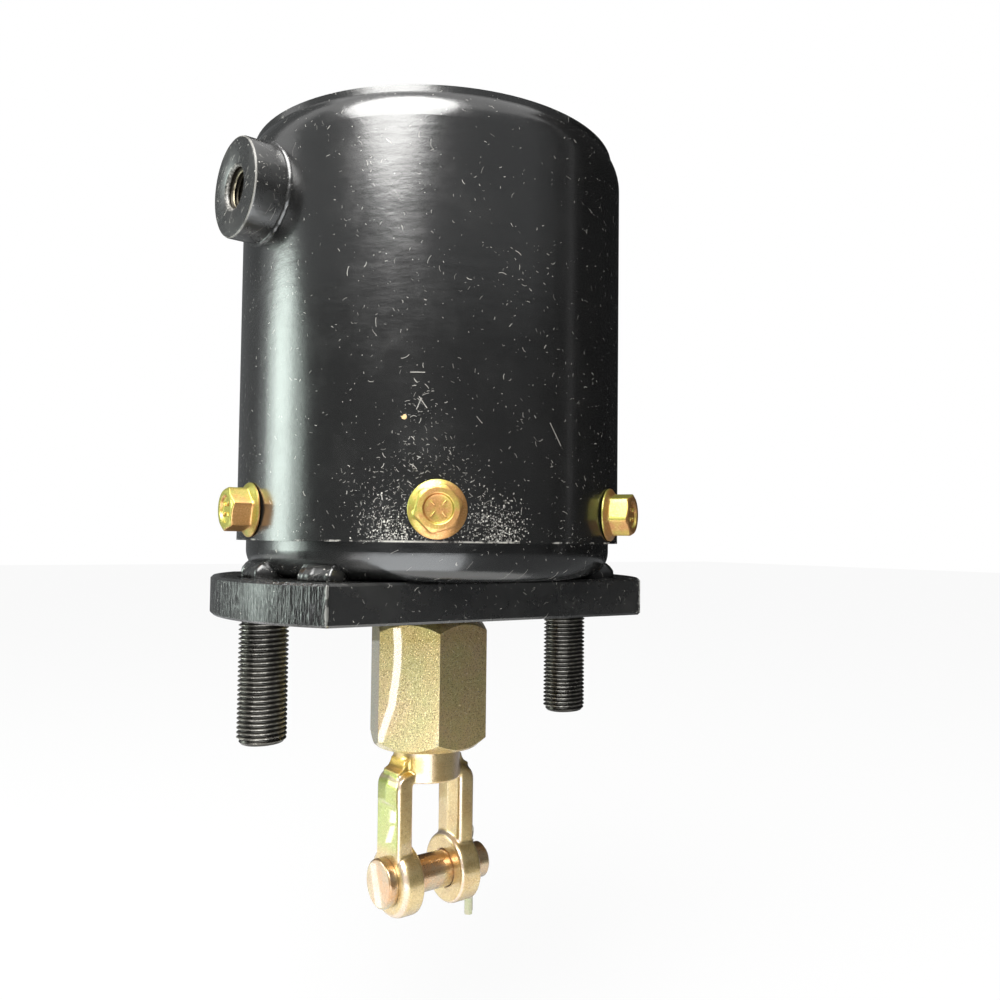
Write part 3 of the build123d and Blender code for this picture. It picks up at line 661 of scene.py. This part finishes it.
# End cap: a pressed steel dish pushed up inside the cup's open end. Only its rounded floor shows
# below the cup's edge. It is painted satin black and dusty.
cap_parts = black_paint("black_paint_cap", 0.19, 0.02)
cap_coat = cap_parts[0]
cap_specks = with_lint(
    cap_coat, dust_dots(cap_coat, 0.0024, 0.0003, 0.4) * 0.6, slanted(cap_coat),
    ((0.0030, 0.00015, 0.0017, 0.16), (0.0018, 0.00014, 0.0009, 0.16)))
dress("end_cap", finish_paint(cap_parts, cap_specks))


# Weld nuts: hexagon nuts saddled to the inside of the cap's skirt and welded there, of plain steel.
def plain_steel(name, tone, roughness, grain=900.0, stretch=(1.0, 1.0, 1.0)):
    """Bare steel with a machined grain and faint stains."""
    finish = Finish(name, Metallic=1.0)
    lines = finish.cloud(grain, 3.0, stretch)
    stain = finish.between(finish.cloud(60.0, 4.0), 0.35, 0.75)
    dark = tuple(0.62 * part for part in tone)
    finish.set("Base Color", finish.mix(stain * 0.5 + lines * 0.25, tone, dark))
    finish.set("Roughness", lines * 0.16 + stain * 0.1 + roughness)
    finish.set("Normal", finish.bump(lines, 0.00001))
    return finish.material


dress("weld_nuts", plain_steel("weld_nut_steel", (0.42, 0.42, 0.43), 0.34))


# Flange bolts: six hexagon flange bolts, cold headed with an indented top, plated bright yellow.
# They pass through the cup and the cap into the weld nuts.
def chromate_drift_and_sheen(tone, cool, warm, drift, painted_sheen_lean):
    """Rule for a chromate colour that drifts in patches, with a painted sheen that shifts its hue
    from one facing to another.
    """
    def rule(finish):
        facing = finish.node("ShaderNodeTexCoord", output="Normal")
        # The facing term is a painted sheen: it changes the hue by which way the surface faces.
        hue = finish.cloud(drift, 3.0, rough=0.6) + finish.vectors("DOT_PRODUCT", facing, painted_sheen_lean)
        stops = [(0.33, warm), (0.5, tone), (0.67, cool)]
        return finish.node("ShaderNodeValToRGB", {"stops": stops}, {0: hue})
    return rule


def plating(name, rule, roughness, sparkle, lacquer=1.0, lacquer_rough=0.045):
    """Zinc plating under a clear chromate film, with its crystal sparkle; the rule colours it."""
    finish = Finish(name, Metallic=0.84, Coat_Weight=lacquer, Coat_Roughness=lacquer_rough,
                    Coat_IOR=1.85)
    tint = rule(finish)
    grit = finish.cloud(2100.0, 2.0, rough=0.7)
    stain = finish.between(finish.cloud(130.0, 5.0, rough=0.7), 0.56, 0.8)
    pits = finish.between(grit, 0.3, 0.47, 1.0, 0.0)
    dull = finish.mix(stain * 0.35 + pits * (0.7 * sparkle), tint, (0.36, 0.33, 0.28),
                      blend_type="MULTIPLY")
    glint = finish.between(grit, 0.55, 0.68) * sparkle
    finish.set("Base Color", finish.mix(glint * 0.5, dull, (0.5, 0.47, 0.36),
                                        blend_type="ADD", clamp_result=True))
    finish.set("Roughness", roughness + stain * 0.12 + pits * 0.1 - glint * 0.1)
    finish.set("Normal", finish.bump(grit, 0.00001 + 0.00007 * sparkle))
    return finish.material


bolt_colours = chromate_drift_and_sheen((0.61, 0.43, 0.11), (0.49, 0.46, 0.10), (0.62, 0.32, 0.11), 190.0,
                        (-0.3, 0.25, 0.28))
bolt_finish = plating("yellow_zinc", bolt_colours, 0.38, 0.5, 0.2, 0.14)
bolt_flat = 0.00635
bolt_flange_r = 0.00875
flange_top = 0.0018
head_top = 0.0084
recess_r = 0.0043
bolt_count = 6
first_bolt = 4.5
head_turn = 15


def rounded_hexagon(flat, height, drop, soft):
    """Rule for a six-sided ring whose corners are cut back a little and lie lower."""
    def rule(angle):
        turn = (angle + pi / 6) % (pi / 3) - pi / 6
        corner = flat / cos(pi / 6) - soft
        radius = min(flat / cos(turn), corner)
        return radius, height - drop * (radius - flat) / (corner - flat)
    return rule


bolt_rings = [
    level(0.0040, -0.0178), level(0.0040, 0.0), level(bolt_flange_r - 0.0002, 0.0),
    level(bolt_flange_r, 0.0002), level(bolt_flange_r, 0.0006),
    level(bolt_flange_r - 0.00025, 0.00085), level(0.0078, 0.0012),
    rounded_hexagon(bolt_flat + 0.0002, flange_top - 0.00005, 0, 0.0003),
    rounded_hexagon(bolt_flat, flange_top + 0.0003, 0, 0.00016),
    rounded_hexagon(bolt_flat, head_top - 0.0004, 0.00046, 0.00016),
    rounded_hexagon(bolt_flat - 0.0001, head_top - 0.0002, 0.0004, 0.0002),
    level(bolt_flat - 0.0003, head_top - 0.00004), level(bolt_flat - 0.0006, head_top),
    level(recess_r + 0.0003, head_top), level(recess_r + 0.0001, head_top - 0.0001),
    level(recess_r - 0.0003, head_top - 0.0008), level(recess_r - 0.0007, head_top - 0.0009),
    level(0.0016, head_top - 0.00085)]


def add_to(whole, part):
    """Put a finished mesh into the one that collects its likes."""
    store = bpy.data.meshes.new("part")
    part.to_mesh(store)
    part.free()
    whole.from_mesh(store)
    bpy.data.meshes.remove(store)


bolts_mesh = bmesh.new()
for index in range(bolt_count):
    one_bolt = ring_stack(bolt_rings, 72)
    close_ends(one_bolt)
    for quarter in range(4):
        dash = bmesh.ops.create_cube(one_bolt, size=1.0)["verts"]
        bmesh.ops.scale(one_bolt, vec=(0.0018, 0.00055, 0.0009), verts=dash)
        bmesh.ops.translate(one_bolt, vec=(0.0023, 0, head_top - 0.00075), verts=dash)
        bmesh.ops.rotate(one_bolt, cent=(0, 0, 0), verts=dash,
                         matrix=Matrix.Rotation(radians(30 + 90 * quarter), 3, "Z"))
        bmesh.ops.bevel(one_bolt, geom=list({edge for vert in dash for edge in vert.link_edges}),
                        offset=0.00018, segments=2, profile=0.5, affect="EDGES", material=-1)
    azimuth = radians(first_bolt + 360 / bolt_count * index)
    seat = (Matrix.Rotation(azimuth, 4, "Z") @ Matrix.Translation((cup_wall_r, 0, bolt_z))
            @ Matrix.Rotation(pi / 2, 4, "Y") @ Matrix.Rotation(radians(head_turn), 4, "Z"))
    bmesh.ops.transform(one_bolt, matrix=seat, verts=one_bolt.verts)
    add_to(bolts_mesh, one_bolt)
bolts = make_piece("flange_bolt_set", bolts_mesh, bolt_finish, smooth=24.0)
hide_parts("flange_bolts")


# Mounting plate: thick steel plate, flame cut round its ends, so its edge has fine drag lines.
# Its satin black paint is chipped to bright steel at the corners it was handled by.
plate_parts = black_paint("black_paint_plate", 0.25, 0.035)
plate_coat, plate_colour, plate_rough, plate_peel = plate_parts
plate_spot = plate_coat.split(plate_coat.place)
plate_middle = 0.00635
drag_lines = plate_coat.cloud(700.0, 3.0, (1.0, 1.0, 0.06), rough=0.7)
slag = plate_coat.between(plate_coat.cloud(160.0, 4.0, (1.0, 1.0, 0.5)), 0.45, 0.7)
cut_edge = plate_coat.between(abs(plate_spot), 0.0565, 0.058)
drag_relief = plate_coat.bump(drag_lines * cut_edge + slag * cut_edge * 0.3, 0.0006)
plate_share = 0.17 - cut_edge * 0.17
plate_specks = with_lint(
    plate_coat, dust_dots(plate_coat, 0.0026, 0.00032, 0.45) * 0.7, slanted(plate_coat),
    ((0.0028, 0.00015, 0.0020, plate_share), (0.0018, 0.00014, 0.0011, plate_share)))
plate_corner = (0.0577, 0.0489, 0.0064)
any_corner = plate_coat.vectors("ABSOLUTE", plate_coat.place)
corner_gap = plate_coat.vectors(
    "MULTIPLY", plate_coat.vectors("SUBTRACT", any_corner, plate_corner), (1.0, 1.0, 0.02))
chip_noise = plate_coat.cloud(420.0, 4.0, rough=0.65) * 0.0007
chip_edge = plate_coat.vectors("LENGTH", corner_gap) - chip_noise
chips = plate_coat.between(chip_edge, 0.0001, 0.0003, 1.0, 0.0)
chips = chips * plate_coat.between(plate_coat.cloud(420.0, 3.0), 0.46, 0.54, 0.15, 1.0)
rim_gap = plate_middle - abs(plate_spot.out("Z") - plate_middle)
rim_noise = plate_coat.cloud(700.0, 5.0, rough=0.7) - rim_gap * 300.0
chips = (chips * 0.75).over(plate_coat.between(rim_noise, 0.62, 0.68))
plate_colour = plate_coat.mix(plate_specks, plate_colour, dust_colour)
plate_coat.set("Base Color", plate_coat.mix(chips, plate_colour, (0.5, 0.5, 0.47)))
plate_coat.set("Metallic", chips * 0.6)
plate_coat.set("Roughness", plate_rough + plate_specks * 0.3 - cut_edge * 0.05)
plate_coat.set("Normal", plate_coat.bump(plate_peel, 0.00003, drag_relief))
dress("mounting_plate", plate_coat.material)


# Mounting studs: two M16 x 1.5 studs fixed in the plate, rolled all the way down and chamfered at
# the end. They are dark oily steel.
stud_crest = 0.008
stud_root = 0.00708
stud_pitch = 0.0015
stud_tip = -0.041
stud_chamfer = 0.0016
stud_spacing = 0.12065
shank_r = 0.0088
shank_top = 0.012
stud_profile = [(stud_root, 0), (stud_root, 0.167 * stud_pitch), (stud_crest, 0.521 * stud_pitch),
                (stud_crest, 0.646 * stud_pitch), (stud_root, stud_pitch)]
studs_mesh = bmesh.new()
for side in (-1, 1):
    stud = helical(stud_profile, stud_pitch, stud_tip - 0.6 * stud_pitch, 30, 48)
    trim(stud, stud_tip, 0.0005)
    for vert in stud.verts:
        allowed = stud_crest - 0.9 * max(0.0, stud_tip + stud_chamfer - vert.co.z)
        if Vector((vert.co.x, vert.co.y)).length > allowed:
            at_radius(vert, allowed)
    shank = ring_stack([level(shank_r, 0.0), level(shank_r, shank_top)], 48)
    for part in (stud, shank):
        close_ends(part)
        bmesh.ops.translate(part, vec=(side * stud_spacing / 2, 0, 0), verts=part.verts)
        add_to(studs_mesh, part)
stud_steel = Finish("oiled_steel", Metallic=0.9)
stud_spot = stud_steel.split(stud_steel.place)
off_centre = abs(stud_spot) - stud_spacing / 2
off_axis = off_centre * off_centre + stud_spot.out("Y") * stud_spot.out("Y")
crest = stud_steel.between(off_axis.maths("SQRT", off_axis), 0.0073, 0.0079)
oil = stud_steel.cloud(110.0, 4.0)
rub = stud_steel.between(stud_steel.cloud(500.0, 4.0, rough=0.7), 0.42, 0.68)
# The thread crests are painted pale, partly as rubbed bare steel and partly as a painted highlight
# along each crest.
rubbed_and_lit_crests = crest * (rub * 0.6 + 0.4)
oily = stud_steel.mix(oil, (0.045, 0.042, 0.038), (0.09, 0.085, 0.076))
stud_steel.set("Base Color", stud_steel.mix(rubbed_and_lit_crests, oily, (0.6, 0.575, 0.52)))
stud_steel.set("Roughness", oil * 0.15 + 0.22)
stud_steel.set("Normal", stud_steel.bump(rub, 0.00002))
studs = make_piece("threaded_studs", studs_mesh, stud_steel.material, smooth=30.0)
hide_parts("mounting_studs")


# Plate welds: six short fillet beads between the plate's top and the cap's rounded corner, laid by
# hand and painted over, so their lumps show.
weld_root_r = 0.0583
weld_reach = 0.0667
weld_foot = 0.0126
half_run = 7.5
tail_start = 0.72
weld_section = [(0.0545, weld_foot), (0.0660, weld_foot), (weld_reach, 0.0134), (0.0661, 0.0150),
                (0.0650, 0.0165), (0.0638, 0.0176), (0.0630, 0.0178), (0.0606, 0.0153),
                (0.0580, 0.0134)]
weld_set = bmesh.new()
for number, azimuth in enumerate((2.0, 31.0, 149.0, 182.0, 211.0, 329.0)):
    run = bmesh.new()
    points = [run.verts.new((radius, 0, height)) for radius, height in weld_section]
    outline = run.faces.new(points)
    bmesh.ops.spin(run, geom=[outline, *outline.edges, *points], axis=(0, 0, 1), cent=(0, 0, 0),
                   angle=radians(2 * half_run), steps=40)
    bmesh.ops.rotate(run, cent=(0, 0, 0), verts=run.verts,
                     matrix=Matrix.Rotation(radians(azimuth - half_run), 3, "Z"))
    for vert in run.verts:
        along = atan2(vert.co.y, vert.co.x)
        span = ((along - radians(azimuth) + pi) % (2 * pi) - pi) / radians(half_run)
        tail = max(0.0, abs(span) - tail_start) / (1 - tail_start)
        reach = Vector((vert.co.x, vert.co.y)).length
        lump = noise.noise(Vector((0.0, number * 7.3, along * 9))) * 0.2
        lump += 0.03 * noise.noise(Vector((number * 3.1, along * 60, vert.co.z * 300)))
        if reach > weld_root_r:
            swelled = weld_root_r + (reach - weld_root_r) * (1.0 + lump - 0.55 * tail)
            at_radius(vert, min(swelled, weld_reach))
        vert.co.z = weld_foot + (vert.co.z - weld_foot) * (1 - 0.3 * tail)
    bmesh.ops.recalc_face_normals(run, faces=run.faces)
    add_to(weld_set, run)
plate_beads = make_piece("plate_weld_beads", weld_set, weld_paint, smooth=60.0)
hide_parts("plate_welds")


# Rod bushing and rod wiper: a flanged sintered bronze bearing trapped between the plate and the
# cap, and a moulded rubber ring pressed into the plate's counterbore below it.
bushing_bronze = Finish("bronze", Metallic=1.0)
pores = bushing_bronze.cloud(2600.0, 2.0)
bushing_bronze.set("Base Color", bushing_bronze.mix(pores, (0.36, 0.23, 0.1), (0.58, 0.4, 0.2)))
bushing_bronze.set("Roughness", pores * 0.2 + 0.35)
bushing_bronze.set("Normal", bushing_bronze.bump(pores, 0.00002))
dress("rod_bushing", bushing_bronze.material)
rubber = Finish("black_rubber", Specular_IOR_Level=0.4)
bloom = rubber.cloud(70.0, 4.0)
rubber.set("Base Color", rubber.mix(bloom * 0.5, (0.018, 0.018, 0.018), (0.06, 0.06, 0.058)))
rubber.set("Roughness", bloom * 0.2 + 0.5)
rubber.set("Normal", rubber.bump(rubber.cloud(3000.0, 1.0), 0.00002))
dress("rod_wiper", rubber.material)


# Spring seat and power spring: a pressed ring on the cap's floor, and a spring of round wire wound
# with closed ground ends, shot peened and coated black.
def merged_copy(node):
    """Mesh of a carried-over piece with its split corners joined."""
    mesh = bmesh.new()
    mesh.from_mesh(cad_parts[node].data)
    bmesh.ops.remove_doubles(mesh, verts=mesh.verts, dist=1e-6)
    return mesh


dress("spring_seat", plain_steel("spring_seat_steel", (0.45, 0.45, 0.46), 0.36))
spring_coat = Finish("black_spring_steel", Specular_IOR_Level=0.6)
peening = spring_coat.cloud(2200.0, 2.0)
worn = spring_coat.between(spring_coat.cloud(90.0, 5.0), 0.55, 0.8)
spring_coat.set("Base Color", spring_coat.mix(worn, (0.015, 0.015, 0.016), (0.07, 0.07, 0.07)))
spring_coat.set("Roughness", worn * 0.2 + 0.38)
spring_coat.set("Normal", spring_coat.bump(peening, 0.00003))
coil = merged_copy("power_spring")
coil_spring = make_piece("coil_spring", coil, spring_coat.material)
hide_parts("power_spring")
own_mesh(coil_spring)


# Piston group: a cast aluminium piston machined on its rim, with a rubber lip seal, a split nylon
# guide ring and an O-ring in its hub.
cast_metal = Finish("cast_aluminium", Metallic=1.0)
sand = cast_metal.cloud(900.0, 4.0)
tool_marks = cast_metal.cloud(60.0, 2.0, (1.0, 1.0, 90.0))
cast_metal.set("Base Color", cast_metal.mix(sand, (0.5, 0.5, 0.51), (0.66, 0.66, 0.67)))
cast_metal.set("Roughness", sand * 0.2 + tool_marks * 0.15 + 0.3)
cast_metal.set("Normal", cast_metal.bump(sand, 0.00004))
dress("piston", cast_metal.material)
dress("piston_seal", rubber.material)
nylon = Finish("guide_plastic", Specular_IOR_Level=0.45)
flow = nylon.cloud(300.0, 3.0)
nylon.set("Base Color", nylon.mix(flow, (0.1, 0.135, 0.17), (0.15, 0.19, 0.23)))
nylon.set("Roughness", flow * 0.15 + 0.45)
nylon.set("Normal", nylon.bump(flow, 0.00002))
dress("guide_ring", nylon.material)
dress("hub_oring", rubber.material)


# Push rod group: a ground steel rod, its hardened washer and its locknut above the piston.
dress("push_rod", plain_steel("ground_steel", (0.56, 0.56, 0.57), 0.16, 500.0, (1.0, 1.0, 12.0)))
dress("thrust_washer", plain_steel("washer_steel", (0.4, 0.4, 0.41), 0.3))
dress("rod_locknut", plain_steel("locknut_steel", (0.46, 0.46, 0.47), 0.3))


# Hex coupling: a long hexagon turned from bar, chamfered at both ends and threaded for the rod and
# the clevis. Its olive-gold zinc plating has a fine sparkle.
hex_colours = chromate_drift_and_sheen((0.64, 0.49, 0.18), (0.57, 0.49, 0.17), (0.67, 0.46, 0.21), 60.0,
                       (-0.1, 0.0, 0.05))
hex_finish = plating("olive_zinc", hex_colours, 0.38, 1.8, 1.0, 0.02)
broken_edge = 0.0003
bar = merged_copy("hex_coupling")
bmesh.ops.dissolve_limit(bar, angle_limit=radians(1), verts=bar.verts, edges=bar.edges)
sharp = [edge for edge in bar.edges
         if len(edge.link_faces) == 2 and edge.calc_face_angle(0.0) > radians(33)]
bmesh.ops.bevel(bar, geom=sharp, offset=broken_edge, offset_type="OFFSET", segments=3, profile=0.5,
                affect="EDGES", material=-1, clamp_overlap=True)
hexagon_bar = make_piece("hex_coupling_bar", bar, hex_finish, "rod_group")
flats = hexagon_bar.modifiers.new("flats", "WEIGHTED_NORMAL")
flats.weight, flats.keep_sharp = 100, True
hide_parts("hex_coupling")


# Clevis: a drop-forged fork. Its shoulders sweep from the round neck into two arms, each ending
# in a rounded eye. Its chromate runs from yellow-green to gold, and a painted pink-white highlight
# lies on its rounded edges.
pin_turn = radians(6)
pin_way = Matrix.Rotation(pin_turn, 4, "Z")
crotch_start = -0.0560
crotch_z = -0.0626
crotch_end = -0.0665
crotch_lift = 0.0033
crotch_half = 0.0110
shoulder_depth = 0.0104
forging = merged_copy("clevis")
bmesh.ops.transform(forging, matrix=pin_way.inverted(), verts=forging.verts)
for vert in forging.verts:
    if abs(vert.co.x) < crotch_half and crotch_end < vert.co.z < crotch_start:
        vert.co.z += crotch_lift * min(1.0, (crotch_start - vert.co.z) / (crotch_start - crotch_z))
shoulder = [(0.0095, -0.0512), (0.0119, -0.0516), (0.0122, -0.0530), (0.0128, -0.0541),
            (0.0138, -0.0549), (0.0150, -0.0554), (0.0150, -0.0580), (0.0095, -0.0580)]
for side in (-1, 1):
    points = [forging.verts.new((side * reach, -shoulder_depth / 2, height))
              for reach, height in shoulder]
    web = forging.faces.new(points)
    grown = bmesh.ops.extrude_face_region(forging, geom=[web])["geom"]
    far = [item for item in grown if isinstance(item, bmesh.types.BMVert)]
    bmesh.ops.translate(forging, vec=(0, shoulder_depth, 0), verts=far)
    touched = {face for vert in points + far for face in vert.link_faces}
    bmesh.ops.recalc_face_normals(forging, faces=list(touched))
rough_data = bpy.data.meshes.new("rough_forging")
forging.to_mesh(rough_data)
forging.free()
rough_forging = bpy.data.objects.new("rough_forging", rough_data)
scene.collection.objects.link(rough_forging)
flow_together = rough_forging.modifiers.new("flow", "REMESH")
flow_together.mode, flow_together.voxel_size = "VOXEL", 0.00042
tumbled = rough_forging.modifiers.new("tumble", "SMOOTH")
tumbled.factor, tumbled.iterations = 0.5, 12
depsgraph = bpy.context.evaluated_depsgraph_get()
forged = bmesh.new()
forged.from_mesh(bpy.data.meshes.new_from_object(rough_forging.evaluated_get(depsgraph)))
bmesh.ops.transform(forged, matrix=pin_way, verts=forged.verts)
bpy.data.objects.remove(rough_forging)


def clevis_chromate_and_edge_highlight(finish):
    """Yellow-green on the outer faces, a painted pink-white highlight on rounded edges, gold-orange
    on the shoulders.
    """
    facing = finish.node("ShaderNodeTexCoord", output="Normal")
    pin_line = (cos(pin_turn), sin(pin_turn), 0.0)
    sideways = finish.vectors("DOT_PRODUCT", facing, pin_line)
    reach = finish.vectors("DOT_PRODUCT", finish.place, pin_line)
    height = finish.split(finish.place).out("Z")
    drift = finish.cloud(110.0, 4.0, rough=0.65)
    outer = finish.between(sideways * reach * 60.0 + (drift - 0.5) * 0.5, 0.72, 0.95)
    arm = finish.between(height + drift * 0.004, -0.0830, -0.0770)
    plain = finish.mix(finish.between(drift, 0.35, 0.65), (0.60, 0.41, 0.16), (0.68, 0.52, 0.23))
    # Painted highlight: rounded edges, facing part way along the pin, are painted pink-white.
    painted_edge_highlight = finish.between(abs(sideways), 0.2, 0.62)
    painted_edge_highlight = painted_edge_highlight * finish.between(abs(sideways), 0.8, 0.97, 1.0, 0.0)
    tint = finish.mix(painted_edge_highlight * 0.75, plain, (0.86, 0.68, 0.56))
    tint = finish.mix(outer * arm * (drift * 0.8 + 0.45), tint, (0.42, 0.51, 0.10))
    near_neck = finish.between(height - drift * 0.003, -0.0585, -0.0565) * finish.between(
        height - drift * 0.003, -0.0530, -0.0505, 1.0, 0.0)
    inboard = finish.between(reach, -0.0060, -0.0085)
    return finish.mix(near_neck * inboard * (1 - outer) * 0.9, tint, (0.80, 0.52, 0.08))


clevis_finish = plating("iridescent_zinc", clevis_chromate_and_edge_highlight, 0.34, 0.7)
clevis = make_piece("forged_clevis", forged, clevis_finish, "rod_group", smooth=180.0)
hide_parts("clevis")


# Clevis pin and cotter pin: a headed steel pin with a brown-gold finish, held by a split pin of
# half-round wire.
pin_colours = chromate_drift_and_sheen((0.50, 0.35, 0.20), (0.50, 0.42, 0.24), (0.60, 0.33, 0.14), 120.0,
                       (0.0, 0.0, -0.2))
dress("clevis_pin", plating("copper_zinc", pin_colours, 0.3, 0.45))
cotter_colours = chromate_drift_and_sheen((0.45, 0.44, 0.29), (0.42, 0.47, 0.25), (0.48, 0.42, 0.25), 300.0,
                          (0.0, 0.0, 0.0))
dress("cotter_pin", plating("cotter_zinc", cotter_colours, 0.3, 0.3))
